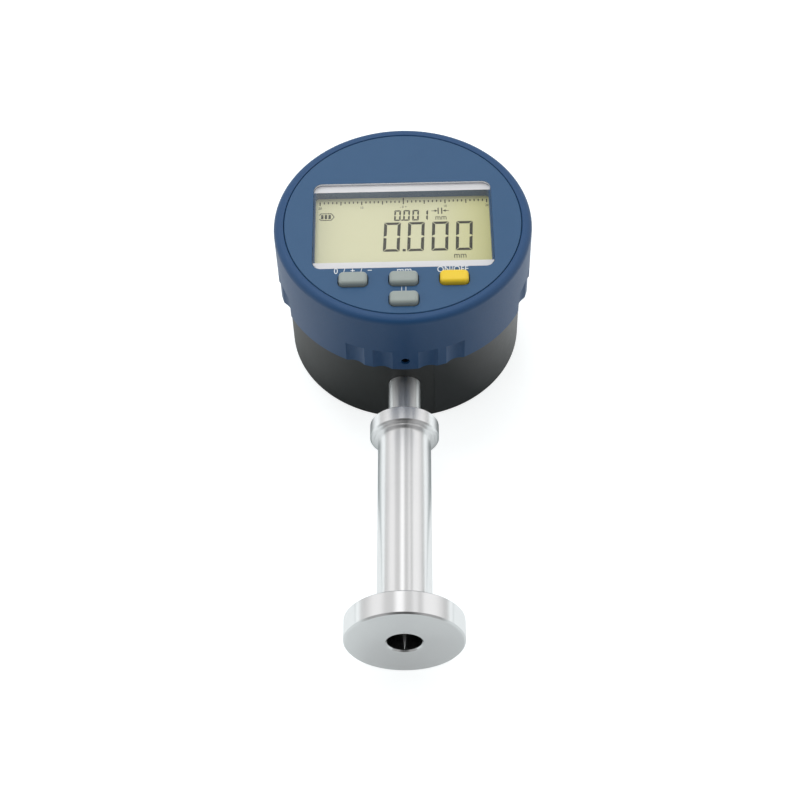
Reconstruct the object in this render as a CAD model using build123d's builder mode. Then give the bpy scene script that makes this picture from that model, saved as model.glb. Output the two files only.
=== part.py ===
from build123d import *
from math import cos, radians, sin, sqrt
import os

os.makedirs("parts", exist_ok=True)

# A digital gauge with a needle point, lying on its back, in millimetres.
# +Z is the way the dial faces, and the foot lies toward -Y.
# The origin is on the dial's axis, on the back of the case.

# Fits, as gaps on the radius or between faces
seat_gap = 0.01
running_gap = 0.04
loose_gap = 0.1
face_gap = 0.2

# Travel of the moving pieces
spindle_travel = 12.7
dial_limit = 135.0
half_turn_angle = 180.0
button_travel = 0.5

# The dial head stands a little turned, as a head held by friction is left
head_turn = 0.8

# Rear case
stem_height = 14.0
case_radius = 30.0
case_wall = 2.6
case_edge = 0.5
deck_drop = 0.8
deck_thickness = 2.0
deck_hole_radius = 6.0
cover_thickness = 2.0
cover_ledge = 1.2
spigot_step = 2.0
spigot_wall = 2.4
spigot_height = 6.6
post_radius = 2.5
post_bite = 0.3
post_angle = 45.0
post_hole_depth = 9.0
seal_section = 1.0
seal_proud = 0.05
seal_rise = 1.4
groove_rise = 3.7
groove_width = 2.0
groove_depth = 1.0
stem_boss_radius = 6.5
stem_boss_length = 10.0
top_boss_radius = 6.0
top_boss_length = 7.5
wall_bite = 1.0
cap_seat_depth = 1.0

# Back cover, its screws and the cell in its tray
cover_screw_radius = 0.85
cover_screw_length = 8.0
cover_head_radius = 1.9
cover_head_sink = 0.1
cell_width = 20.0
cell_length = 30.0
cell_height = 4.2
cell_round = 0.8
tray_wall = 1.0
tray_height = 2.0

# Stem, its bushings, and the bushing and cap on top
stem_radius = 4.0
stem_wall = 1.0
stem_chamfer = 0.3
stem_inner_end = -18.0
stem_outer_end = -53.0
bushing_length = 8.5
bushing_inset = 0.5
neck_radius = 3.5
neck_end = 34.0
cap_radius = 5.2
cap_wall = 1.2
cap_headroom = 2.1
cap_bore = 2.7
cap_round = 1.2
cap_grips = 12
cap_grip_radius = 0.7
cap_grip_depth = 0.35

# Measuring base: collar, tube and foot, turned in one piece
collar_radius = 8.5
collar_top = -42.2
collar_height = 4.3
collar_step_radius = 7.4
collar_step = 0.6
base_tube_radius = 6.5
foot_radius = 14.0
foot_height = 6.0
foot_face = -102.6
base_chamfer = 0.4
grub_radius = 1.25
grub_recess = 0.5
socket_share = 0.55

# Spindle, its rods and the point
spindle_radius = 2.0
spindle_top = 27.0
spindle_bottom = -60.0
stud_radius = 1.2
stud_length = 5.0
point_radius = 2.2
point_grip_length = 3.0
point_taper_length = 4.0
needle_radius = 0.6
needle_cone_length = 4.9
needle_tip_radius = 0.06
needle_reach = 1.5
point_length = 12.1

# Carriage, scale, bumper and guide
carriage_bottom = -13.5
carriage_length = 12.0
carriage_width = 10.0
carriage_drop = 3.5
bumper_radius = 3.4
bumper_gap = 0.1
scale_length = 22.0
scale_gap = 0.5
scale_screw_gap = 0.6
scale_stem_gap = 0.3
scale_thickness = 1.0
clamp_screw_radius = 0.8
guide_offset = 10.0
guide_radius = 1.0
guide_lug_radius = 2.5
guide_lug_thickness = 2.0
guide_lug_near = -15.0
guide_lug_far = 16.8
arm_length = 4.0
arm_radius = 2.4
spring_wire = 0.22
spring_radius = 2.75
spring_turns = 6

# Reader board, its chip and screws, and the charging socket
reader_gap = 0.3
board_thickness = 1.2
reader_post_gap = 0.8
reader_lug_gap = 0.7
reader_low = -11.5
reader_wall_gap = 7.1
reader_tab = 2.8
reader_inset = 2.5
standoff_radius = 2.0
standoff_height = 1.7
small_screw_radius = 0.65
small_head_radius = 1.2
small_head_height = 0.9
reader_chip_size = 6.0
chip_height = 1.1
socket_inset = 4.1
socket_width = 8.94
socket_height = 3.16
socket_length = 7.3
socket_depth = 1.0
socket_wall = 0.3
socket_back = 0.8
tongue_width = 6.6
tongue_height = 0.7
tongue_inset = 1.0

# Bezel, which turns on the spigot and is kept on by four grub screws
bezel_wall = 4.1
bezel_round = 1.5
bezel_edge = 0.3
bezel_bore_gap = 0.15
rim_width = 2.5
rim_chamfer = 0.15
web_gap = 0.3
web_thickness = 2.0
web_width = 4.65
grip_groups = 4
flute_angles = (-22.6, -10.0, 10.0, 22.6)
flute_width = 5.2
flute_depth = 0.9
flute_height = 7.0
retainer_radius = 1.1
retainer_recess = 0.7
retainer_point_radius = 0.8
retainer_point_gap = 0.15

# Stops that limit how far the dial head turns
stop_gap = 0.4
stop_rib_width = 1.5
stop_rib_height = 3.0
stop_lug_height = 4.2
stop_lug_half = 4.0
stop_margin = 0.3

# Face panel
panel_gap = 0.15
skin_thickness = 2.2
skirt_wall = 1.3
crown_height = 15.4
window_key_gap = 1.7
window_side_ledge = 0.4
window_end_ledge = 2.2
window_corner = 2.2
lens_thickness = 1.2
view_corner = 0.8
surround_wall = 0.7
surround_depth = 3.6
face_boss_gap = 0.5
face_boss_radius = 2.1
face_boss_bite = 0.55
face_screw_radius = 0.8
face_head_radius = 1.5
face_head_height = 1.1
face_screw_bite = 5.0
board_boss_radius = 1.8
upper_boss_angle = 67.8
upper_boss_inset = 4.5
lower_boss_gap = 1.2
lower_boss_inset = 2.3
board_screw_bite = 4.0

# Display behind the window
glass_skirt_gap = 0.95
glass_side_margin = 1.1
glass_end_margin = 1.9
glass_plate = 0.9
contact_ledge = 2.5
holder_wall = 0.7
holder_ledge = 1.3
strip_width = 1.8
display_depth = 7.9
display_board_gap = 0.2
board_head_gap = 0.3
controller_size = 8.0

# Buttons and the switches under them
key_edge_gap = 0.4
key_row_gap = 0.95
key_boss_gap = 1.0
key_width = 7.0
key_depth = 3.9
key_corner = 1.2
key_rise = 1.4
key_round = 0.85
key_gap = 0.25
key_flange = 0.7
key_flange_thickness = 0.9
switch_size = 4.5
switch_height = 2.0
plunger_radius = 1.2
plunger_rise = 0.5
plunger_length = 1.5

# Levels along Z, radii and places that follow from the sizes above
case_inner = case_radius - case_wall
cap_seat = case_radius - cap_seat_depth
post_ring = case_inner + post_bite - post_radius
post_x = post_ring * cos(radians(post_angle))
post_y = post_ring * sin(radians(post_angle))
spigot_radius = case_radius - spigot_step
rebate_radius = case_inner + cover_ledge
carriage_floor = stem_height - carriage_drop
carriage_top = stem_height + stem_radius + scale_stem_gap
reader_bottom = carriage_top + scale_thickness + reader_gap
reader_top = reader_bottom + board_thickness
deck_bottom = reader_top + standoff_height
deck_top = deck_bottom + deck_thickness
case_depth = deck_bottom + deck_drop
spigot_top = case_depth + spigot_height
spigot_inner = spigot_radius - spigot_wall
seal_height = case_depth + seal_rise
groove_height = case_depth + groove_rise
groove_floor = spigot_radius - groove_depth
bezel_rear = case_depth + face_gap
bezel_bore = spigot_radius + bezel_bore_gap
bezel_radius = bezel_bore + bezel_wall
rim_radius = bezel_radius - rim_width
web_bottom = spigot_top + web_gap
web_top = web_bottom + web_thickness
display_bottom = web_top + board_head_gap + small_head_height
display_top = display_bottom + board_thickness
bezel_front = display_top + display_depth
web_inner = bezel_bore - web_width
stop_outer = spigot_inner - stop_gap
stop_inner = stop_outer - stop_rib_width
panel_radius = rim_radius - panel_gap
skirt_inner = panel_radius - skirt_wall
skin_bottom = bezel_front - skin_thickness
lens_bottom = bezel_front - lens_thickness
surround_bottom = bezel_front - surround_depth
glass_step = surround_bottom - glass_plate
glass_bottom = glass_step - glass_plate
switch_top = display_top + switch_height
carriage_end = carriage_bottom + carriage_length
carriage_middle = carriage_bottom + carriage_length / 2
reader_right = guide_offset - guide_lug_radius - reader_lug_gap
reader_left = reader_post_gap + post_radius - post_x
socket_x = reader_left + socket_inset
socket_mouth = sqrt(case_radius**2 - socket_x**2) - socket_depth
reader_high = socket_mouth - reader_wall_gap
socket_height_z = reader_bottom - socket_height / 2
base_bore = stem_radius + running_gap
stem_bore = stem_radius - stem_wall
top_boss_end = cap_seat - top_boss_length
stem_boss_outer = wall_bite - case_radius
stem_boss_end = stem_boss_outer + stem_boss_length
scale_low = stem_boss_end + scale_gap
scale_width = 2 * (reader_right - reader_inset - small_head_radius - scale_screw_gap)
needle_tip = foot_face - needle_reach
extension_bottom = needle_tip + point_length
cap_end = spindle_top + spindle_travel + cap_headroom + cap_wall
reader_holes = (
    (reader_left + reader_inset, reader_low + reader_inset),
    (reader_right - reader_inset, reader_low + reader_inset),
    (reader_left + reader_inset, reader_high - reader_inset),
    (reader_right - reader_inset, reader_high - reader_inset),
)

# The face is laid out from its lower edge: the hold key, the row of keys, the window above
# them, and a crown over the window. The display is as wide as the skirt lets it be.
key_low_y = key_edge_gap + key_flange + key_depth / 2 - skirt_inner
key_row_y = key_low_y + key_depth + 2 * key_flange + key_row_gap
window_low = key_row_y + key_depth / 2 + key_gap + window_key_gap
window_high = skirt_inner - crown_height
window_height = window_high - window_low
window_y = (window_high + window_low) / 2
view_height = window_height - 2 * window_end_ledge
glass_height = view_height + 2 * glass_end_margin
glass_drop = glass_height / 2 - window_y
glass_width = 2 * sqrt((skirt_inner - glass_skirt_gap) ** 2 - glass_drop**2)
view_width = glass_width - 2 * glass_side_margin
window_width = view_width + 2 * window_side_ledge

# Screw bosses stand beside the display's holder and beside the hold key
face_boss_ring = skirt_inner + face_boss_bite - face_boss_radius
face_boss_y = glass_drop + loose_gap + holder_wall + face_boss_gap + face_boss_radius
face_boss_x = sqrt(face_boss_ring**2 - face_boss_y**2)
face_bosses = [(x * face_boss_x, y * face_boss_y) for x in (1, -1) for y in (1, -1)]
upper_boss = Vector(skirt_inner - upper_boss_inset, 0).rotate(Axis.Z, upper_boss_angle)
lower_boss_x = key_width / 2 + key_flange + board_boss_radius + lower_boss_gap
lower_boss_y = -sqrt((skirt_inner - lower_boss_inset) ** 2 - lower_boss_x**2)
board_bosses = [(x * upper_boss.X, upper_boss.Y) for x in (1, -1)]
board_bosses += [(x * lower_boss_x, lower_boss_y) for x in (1, -1)]
key_pitch = face_boss_x - face_boss_radius - key_boss_gap - key_flange - key_width / 2
retainer_angles = (0, 90, 180, 270)
keys = {
    "zero": (-key_pitch, key_row_y),
    "unit": (0, key_row_y),
    "power": (key_pitch, key_row_y),
    "hold": (0, key_low_y),
}

stem_axis = Axis((0, 0, stem_height), (0, 1, 0))
stem_plane = Plane.XY.offset(stem_height)


def head(height):
    """The plane of the dial head at a height, facing the front."""
    return Plane.XY.offset(height).rotated((0, 0, head_turn))


def across(y):
    """The plane across the stem at y, facing the foot."""
    return Plane.XZ.offset(-y)


def radial(angle, distance):
    """A plane of the dial head that faces outward at an angle, at a distance from its axis."""
    outward = Vector(1, 0, 0).rotate(Axis.Z, head_turn + angle)
    sideways = Vector(0, 1, 0).rotate(Axis.Z, head_turn + angle)
    return Plane(origin=outward * distance, x_dir=sideways, z_dir=outward)


def save(part, name):
    """Labels a finished piece and writes it to its own file."""
    part.label = name
    export_step(part, f"parts/{name}.step")


def bar(start, end, radius, mode=Mode.ADD):
    """A round bar, or with SUBTRACT a hole, on the stem axis between two y places."""
    with BuildSketch(across(end)) as section:
        with Locations((0, stem_height)):
            Circle(radius)
    extrude(section.sketch, amount=end - start, mode=mode)


def arc_rib(plane, middle, half, height):
    """A rib between the two stop radii, on a plane, round a middle angle."""
    with BuildSketch(plane) as section:
        with BuildLine():
            outer = CenterArc((0, 0), stop_outer, middle - half, 2 * half)
            inner = CenterArc((0, 0), stop_inner, middle - half, 2 * half)
            Line(outer @ 0, inner @ 0)
            Line(outer @ 1, inner @ 1)
        make_face()
    extrude(section.sketch, amount=height)


def sleeve(start, end, bore, radius):
    """A plain round sleeve on the stem axis between two y places."""
    bar(start, end, radius)
    bar(start, end, bore, Mode.SUBTRACT)


def pan_screws(name, seat, points, radius, length, head_radius, head_height):
    """Screws whose heads bear on the seat plane and whose shanks run along its normal."""
    with BuildPart() as screws:
        with BuildSketch(seat):
            with Locations(*points):
                Circle(radius)
        extrude(amount=length)
        with BuildSketch(seat):
            with Locations(*points):
                Circle(head_radius)
        extrude(amount=-head_height)
        with BuildSketch(seat.offset(-head_height)):
            with Locations(*points):
                RegularPolygon(head_radius * socket_share, 6)
        extrude(amount=head_height * socket_share, mode=Mode.SUBTRACT)
    save(screws.part, name)


# Rear case: a cup open at the back, with a deck and a spigot that carries the dial head
with BuildPart() as rear_case:
    with BuildSketch(Plane.XZ):
        with BuildLine():
            Polyline(
                (rebate_radius, 0),
                (case_radius - case_edge, 0),
                (case_radius, case_edge),
                (case_radius, case_depth),
                (spigot_radius, case_depth),
                (spigot_radius, spigot_top),
                (spigot_inner, spigot_top),
                (spigot_inner, deck_top),
                (deck_hole_radius, deck_top),
                (deck_hole_radius, deck_bottom),
                (case_inner, deck_bottom),
                (case_inner, cover_thickness),
                (rebate_radius, cover_thickness),
                close=True,
            )
        make_face()
    revolve(axis=Axis.Z)
    # Grooves for the retaining screws and for the seal
    with BuildSketch(Plane.XZ):
        with Locations((spigot_radius, groove_height)):
            Rectangle(2 * groove_depth, groove_width)
        with Locations((spigot_radius, seal_height)):
            Rectangle(2 * seal_section, seal_section + 2 * seal_proud)
    revolve(axis=Axis.Z, mode=Mode.SUBTRACT)
    # Posts for the back cover's screws
    with BuildSketch(Plane.XY.offset(cover_thickness)):
        with GridLocations(2 * post_x, 2 * post_y, 2, 2):
            Circle(post_radius)
    extrude(amount=deck_bottom - cover_thickness)
    with BuildSketch(Plane.XY.offset(cover_thickness)):
        with GridLocations(2 * post_x, 2 * post_y, 2, 2):
            Circle(cover_screw_radius + seat_gap)
    extrude(amount=post_hole_depth, mode=Mode.SUBTRACT)
    # Bosses for the stem and for the upper bushing
    bar(stem_boss_outer, stem_boss_end, stem_boss_radius)
    bar(-case_radius, stem_boss_end, stem_radius + seat_gap, Mode.SUBTRACT)
    bar(top_boss_end, cap_seat, top_boss_radius)
    bar(top_boss_end, case_radius, neck_radius + seat_gap, Mode.SUBTRACT)
    bar(cap_seat, case_radius, cap_radius + face_gap, Mode.SUBTRACT)
    # Lugs that hold the guide rod
    for lug_y in (guide_lug_near, guide_lug_far):
        with BuildSketch(across(lug_y)):
            with Locations((guide_offset, stem_height)):
                Circle(guide_lug_radius)
            with Locations((guide_offset, (stem_height + deck_bottom) / 2)):
                Rectangle(2 * guide_lug_radius, deck_bottom - stem_height)
            with Locations((guide_offset, stem_height)):
                Circle(guide_radius + seat_gap, mode=Mode.SUBTRACT)
        extrude(amount=guide_lug_thickness)
    # Standoffs for the reader board
    with BuildSketch(Plane.XY.offset(reader_top)):
        with Locations(*reader_holes):
            Circle(standoff_radius)
    extrude(amount=deck_bottom - reader_top)
    with BuildSketch(Plane.XY.offset(reader_top)):
        with Locations(*reader_holes):
            Circle(small_screw_radius + seat_gap)
    extrude(amount=deck_bottom - reader_top + deck_thickness / 2, mode=Mode.SUBTRACT)
    # Opening for the charging socket
    with BuildSketch(across(case_radius)):
        with Locations((socket_x, socket_height_z)):
            SlotOverall(socket_width + 2 * loose_gap, socket_height + 2 * loose_gap)
    extrude(amount=case_radius - socket_mouth + socket_length + loose_gap, mode=Mode.SUBTRACT)
    # Rib that stops the dial head at both ends of its turn
    arc_rib(
        head(deck_top),
        90,
        half_turn_angle - dial_limit - stop_lug_half - stop_margin,
        stop_rib_height,
    )
save(rear_case.part, "rear_case")

# Back cover: a disc let into the case, with a tray for the cell on its inside
with BuildPart() as back_cover:
    with BuildSketch():
        Circle(rebate_radius - loose_gap)
    extrude(amount=cover_thickness)
    with BuildSketch(Plane.XY.offset(cover_thickness)):
        Rectangle(cell_width + 2 * (face_gap + tray_wall), cell_length + 2 * (face_gap + tray_wall))
        Rectangle(cell_width + 2 * face_gap, cell_length + 2 * face_gap, mode=Mode.SUBTRACT)
    extrude(amount=tray_height)
    with Locations(Location((0, 0, 0), (180, 0, 0))):
        with GridLocations(2 * post_x, 2 * post_y, 2, 2):
            CounterSinkHole(
                cover_screw_radius + loose_gap,
                cover_head_radius + loose_gap,
                depth=cover_thickness,
                counter_sink_angle=90,
            )
save(back_cover.part, "back_cover")

# Countersunk screws of the back cover
with BuildPart() as back_cover_screws:
    with BuildSketch(Plane.XY.offset(cover_head_sink)):
        with GridLocations(2 * post_x, 2 * post_y, 2, 2):
            Circle(cover_head_radius)
    extrude(amount=cover_head_radius - cover_screw_radius, taper=45)
    with BuildSketch(Plane.XY.offset(cover_head_sink)):
        with GridLocations(2 * post_x, 2 * post_y, 2, 2):
            Circle(cover_screw_radius)
    extrude(amount=cover_screw_length)
    with BuildSketch(Plane.XY.offset(cover_head_sink)):
        with GridLocations(2 * post_x, 2 * post_y, 2, 2):
            RegularPolygon(cover_head_radius * socket_share, 6)
    extrude(amount=cover_screw_radius, mode=Mode.SUBTRACT)
save(back_cover_screws.part, "back_cover_screws")

# Rechargeable cell, lying in the cover's tray
with BuildPart() as battery_cell:
    with BuildSketch(Plane.XY.offset(cover_thickness)):
        Rectangle(cell_width, cell_length)
    extrude(amount=cell_height)
    fillet(battery_cell.edges().filter_by(Axis.Y), radius=cell_round)
save(battery_cell.part, "battery_cell")

# Stem: a ground steel tube pressed into the case
with BuildPart() as stem:
    sleeve(stem_outer_end, stem_inner_end, stem_bore, stem_radius)
    chamfer(stem.edges().group_by(Axis.Y)[0], length=stem_chamfer)
save(stem.part, "stem")

# Bronze bushings at both ends of the stem's bore
with BuildPart() as stem_bushings:
    for bushing_low in (stem_outer_end + bushing_inset, stem_inner_end - bushing_inset - bushing_length):
        sleeve(
            bushing_low,
            bushing_low + bushing_length,
            spindle_radius + running_gap,
            stem_bore - seat_gap,
        )
save(stem_bushings.part, "stem_bushings")

# Upper bushing: its neck stands out of the case and carries the cap
with BuildPart() as upper_bushing:
    sleeve(top_boss_end, neck_end, spindle_radius + running_gap, neck_radius)
save(upper_bushing.part, "upper_bushing")

# Cap over the spindle's upper end
with BuildPart() as spindle_cap:
    with BuildSketch(stem_plane):
        with BuildLine():
            Polyline(
                (0, cap_end - cap_wall),
                (cap_bore, cap_end - cap_wall),
                (cap_bore, neck_end + face_gap),
                (neck_radius + seat_gap, neck_end + face_gap),
                (neck_radius + seat_gap, cap_seat),
                (cap_radius, cap_seat),
                (cap_radius, cap_end),
                (0, cap_end),
                close=True,
            )
        make_face()
    revolve(axis=stem_axis)
    fillet(spindle_cap.edges().group_by(Axis.Y)[-1], radius=cap_round)
    with BuildSketch(across(cap_end - cap_round)):
        with Locations((0, stem_height)):
            with PolarLocations(cap_radius + cap_grip_radius - cap_grip_depth, cap_grips):
                Circle(cap_grip_radius)
    extrude(amount=cap_end - 2 * cap_round - cap_seat, mode=Mode.SUBTRACT)
save(spindle_cap.part, "spindle_cap")

# Measuring base: it slides over the stem, and its foot stands on the work
with BuildPart() as measuring_base:
    with BuildSketch(stem_plane):
        with BuildLine():
            Polyline(
                (base_bore, collar_top),
                (collar_radius - base_chamfer, collar_top),
                (collar_radius, collar_top - base_chamfer),
                (collar_radius, collar_top - collar_height + base_chamfer),
                (collar_radius - base_chamfer, collar_top - collar_height),
                (collar_step_radius, collar_top - collar_height),
                (collar_step_radius, collar_top - collar_height - collar_step),
                (base_tube_radius, collar_top - collar_height - collar_step),
                (base_tube_radius, foot_face + foot_height),
                (foot_radius - base_chamfer, foot_face + foot_height),
                (foot_radius, foot_face + foot_height - base_chamfer),
                (foot_radius, foot_face + base_chamfer),
                (foot_radius - base_chamfer, foot_face),
                (base_bore + base_chamfer, foot_face),
                (base_bore, foot_face + base_chamfer),
                close=True,
            )
        make_face()
    revolve(axis=stem_axis)
    with BuildSketch(stem_plane):
        with Locations((0, collar_top - collar_height / 2)):
            Circle(grub_radius + seat_gap)
    extrude(amount=-foot_radius, mode=Mode.SUBTRACT)
save(measuring_base.part, "measuring_base")

# Grub screw that locks the collar on the stem, on the side that faces down
with BuildPart() as base_grub_screw:
    with BuildSketch(Plane.XY.offset(stem_height - collar_radius + grub_recess)):
        with Locations((0, collar_top - collar_height / 2)):
            Circle(grub_radius)
    extrude(amount=collar_radius - grub_recess - stem_radius - seat_gap)
    with BuildSketch(Plane.XY.offset(stem_height - collar_radius + grub_recess)):
        with Locations((0, collar_top - collar_height / 2)):
            RegularPolygon(grub_radius * socket_share, 6)
    extrude(amount=grub_radius, mode=Mode.SUBTRACT)
save(base_grub_screw.part, "base_grub_screw")

# Spindle: a ground rod with a threaded hole in its lower end
with BuildPart() as spindle:
    bar(spindle_bottom, spindle_top, spindle_radius)
    chamfer(spindle.edges().group_by(Axis.Y)[-1], length=stem_chamfer)
    bar(spindle_bottom, spindle_bottom + stud_length + loose_gap, stud_radius + seat_gap, Mode.SUBTRACT)
save(spindle.part, "spindle")

# Extension rod: it screws into the spindle and reaches down through the base
with BuildPart() as extension_rod:
    bar(extension_bottom, spindle_bottom, spindle_radius)
    bar(spindle_bottom, spindle_bottom + stud_length, stud_radius)
    bar(
        extension_bottom,
        extension_bottom + stud_length + loose_gap,
        stud_radius + seat_gap,
        Mode.SUBTRACT,
    )
save(extension_rod.part, "extension_rod")

# Needle point: a stud, a grip and a slender hardened needle
with BuildPart() as needle_point:
    grip_end = extension_bottom - point_grip_length
    with BuildSketch(stem_plane):
        with BuildLine():
            Polyline(
                (0, extension_bottom + stud_length),
                (stud_radius, extension_bottom + stud_length),
                (stud_radius, extension_bottom),
                (point_radius, extension_bottom),
                (point_radius, grip_end),
                (needle_radius, grip_end - point_taper_length),
                (needle_radius, needle_tip + needle_cone_length),
                (needle_tip_radius, needle_tip),
                (0, needle_tip),
                close=True,
            )
        make_face()
    revolve(axis=stem_axis)
save(needle_point.part, "needle_point")

# Bumper between the carriage and the stem, where the spindle rests
with BuildPart() as stop_bumper:
    sleeve(stem_inner_end + bumper_gap, carriage_bottom, spindle_radius + seat_gap, bumper_radius)
save(stop_bumper.part, "stop_bumper")

# Carriage: clamped on the spindle, with an arm that runs on the guide rod
with BuildPart() as scale_carriage:
    with BuildSketch(across(carriage_end)):
        with Locations((0, (carriage_floor + carriage_top) / 2)):
            Rectangle(carriage_width, carriage_top - carriage_floor)
    extrude(amount=carriage_length)
    with BuildSketch(across(carriage_middle + arm_length / 2)):
        with Locations((guide_offset / 2, stem_height)):
            Rectangle(guide_offset, 2 * arm_radius)
        with Locations((guide_offset, stem_height)):
            Circle(arm_radius)
    extrude(amount=arm_length)
    bar(carriage_bottom, carriage_end, spindle_radius + seat_gap, Mode.SUBTRACT)
    with BuildSketch(across(carriage_end)):
        with Locations((guide_offset, stem_height)):
            Circle(guide_radius + running_gap)
    extrude(amount=carriage_length, mode=Mode.SUBTRACT)
    with BuildSketch(Plane.YZ.offset(-carriage_width / 2)):
        with Locations((carriage_middle, stem_height)):
            Circle(clamp_screw_radius + seat_gap)
    extrude(amount=carriage_width / 2, mode=Mode.SUBTRACT)
save(scale_carriage.part, "scale_carriage")

# Screw that clamps the carriage on the spindle
with BuildPart() as carriage_screw:
    with BuildSketch(Plane.YZ.offset(-carriage_width / 2)):
        with Locations((carriage_middle, stem_height)):
            Circle(clamp_screw_radius)
    extrude(amount=carriage_width / 2 - spindle_radius - seat_gap)
save(carriage_screw.part, "carriage_screw")

# Glass scale that the reader board reads
with BuildPart() as encoder_scale:
    with BuildSketch(Plane.XY.offset(carriage_top)):
        with Locations((0, scale_low + scale_length / 2)):
            Rectangle(scale_width, scale_length)
    extrude(amount=scale_thickness)
save(encoder_scale.part, "encoder_scale")

# Guide rod beside the spindle
with BuildPart() as guide_rod:
    with BuildSketch(across(guide_lug_far)):
        with Locations((guide_offset, stem_height)):
            Circle(guide_radius)
    extrude(amount=guide_lug_far - guide_lug_near + guide_lug_thickness)
save(guide_rod.part, "guide_rod")

# Return spring, round the spindle between the carriage and the upper bushing.
# Each half turn is a flat arc, and its ends lie half a pitch apart along the spindle.
with BuildPart() as return_spring:
    spring_low = carriage_end + spring_wire + seat_gap
    spring_high = top_boss_end - spring_wire - seat_gap
    climb = (spring_high - spring_low) / (2 * spring_turns)
    arc_radius = sqrt(spring_radius**2 + (climb / 2) ** 2)
    with BuildLine() as coil:
        for half_turn in range(2 * spring_turns):
            side = (-1) ** half_turn
            rise = spring_low + half_turn * climb
            ThreePointArc(
                (side * spring_radius, rise, stem_height),
                (0, rise + climb / 2, stem_height + side * arc_radius),
                (-side * spring_radius, rise + climb, stem_height),
            )
    with BuildSketch(Plane(origin=coil.line @ 0, z_dir=coil.line % 0)):
        RegularPolygon(spring_wire, 6)
    sweep()
save(return_spring.part, "return_spring")

# Reader board, hung under the deck
with BuildPart() as reader_board:
    with BuildSketch(Plane.XY.offset(reader_bottom)):
        with Locations(((reader_left + reader_right) / 2, (reader_low + reader_high) / 2)):
            Rectangle(reader_right - reader_left, reader_high - reader_low)
        with Locations((socket_x, reader_high)):
            Rectangle(socket_width - 2 * socket_wall, 2 * reader_tab)
        with Locations(*reader_holes):
            Circle(small_screw_radius + seat_gap, mode=Mode.SUBTRACT)
    extrude(amount=board_thickness)
save(reader_board.part, "reader_board")

with BuildPart() as reader_chip:
    with BuildSketch(Plane.XY.offset(reader_top)):
        with Locations((reader_left / 2, (reader_low + reader_high) / 2)):
            Rectangle(reader_chip_size, reader_chip_size)
    extrude(amount=chip_height)
save(reader_chip.part, "reader_chip")

pan_screws(
    "reader_screws",
    Plane.XY.offset(reader_bottom),
    reader_holes,
    small_screw_radius,
    board_thickness + deck_bottom - reader_top,
    small_head_radius,
    small_head_height,
)

# Charging socket under the reader board, with its mouth in the case wall
with BuildPart() as charging_socket:
    with BuildSketch(across(socket_mouth)):
        with Locations((socket_x, socket_height_z)):
            SlotOverall(socket_width, socket_height)
    extrude(amount=socket_length)
    with BuildSketch(across(socket_mouth)):
        with Locations((socket_x, socket_height_z)):
            SlotOverall(socket_width - 2 * socket_wall, socket_height - 2 * socket_wall)
    extrude(amount=socket_length - socket_back, mode=Mode.SUBTRACT)
    with BuildSketch(across(socket_mouth - tongue_inset)):
        with Locations((socket_x, socket_height_z)):
            Rectangle(tongue_width, tongue_height)
    extrude(amount=socket_length - tongue_inset - socket_back / 2)
save(charging_socket.part, "charging_socket")

# Square-cut seal ring in the spigot's lower groove
with BuildPart() as dial_seal:
    with BuildSketch(Plane.XZ):
        with Locations((spigot_radius + seal_proud - seal_section / 2, seal_height)):
            Rectangle(seal_section, seal_section)
    revolve(axis=Axis.Z)
save(dial_seal.part, "dial_seal")

# Bezel: a ring with grip flutes, an inner web that carries the face, and a stop lug
with BuildPart() as bezel:
    with BuildSketch(Plane.XZ):
        with BuildLine():
            Polyline(
                (bezel_bore, bezel_rear),
                (bezel_radius - bezel_edge, bezel_rear),
                (bezel_radius, bezel_rear + bezel_edge),
                (bezel_radius, bezel_front),
                (rim_radius + rim_chamfer, bezel_front),
                (rim_radius, bezel_front - rim_chamfer),
                (rim_radius, web_top),
                (web_inner, web_top),
                (web_inner, web_bottom),
                (bezel_bore, web_bottom),
                close=True,
            )
        make_face()
    revolve(axis=Axis.Z)
    front_edges = bezel.edges().filter_by(GeomType.CIRCLE).group_by(Axis.Z)[-1]
    fillet(front_edges.sort_by(SortBy.RADIUS)[-1], radius=bezel_round)
    # A flute's radius follows from its width and depth
    flute_radius = ((flute_width / 2) ** 2 + flute_depth**2) / (2 * flute_depth)
    with BuildSketch(head(bezel_rear)):
        for flute_angle in flute_angles:
            with PolarLocations(
                bezel_radius - flute_depth + flute_radius, grip_groups, start_angle=flute_angle
            ):
                Circle(flute_radius)
    extrude(amount=flute_height, mode=Mode.SUBTRACT)
    for retainer_angle in retainer_angles:
        with BuildSketch(radial(retainer_angle, bezel_radius)):
            with Locations((0, groove_height)):
                Circle(retainer_radius + seat_gap)
        extrude(amount=groove_floor - bezel_radius, mode=Mode.SUBTRACT)
    with BuildSketch(head(web_bottom)):
        with Locations(*face_bosses):
            Circle(face_head_radius + loose_gap)
    extrude(amount=face_head_height + loose_gap, mode=Mode.SUBTRACT)
    with BuildSketch(head(web_bottom)):
        with Locations(*face_bosses):
            Circle(face_screw_radius + loose_gap)
    extrude(amount=web_thickness, mode=Mode.SUBTRACT)
    arc_rib(head(web_bottom - stop_lug_height), -90, stop_lug_half, stop_lug_height)
save(bezel.part, "bezel")

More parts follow.
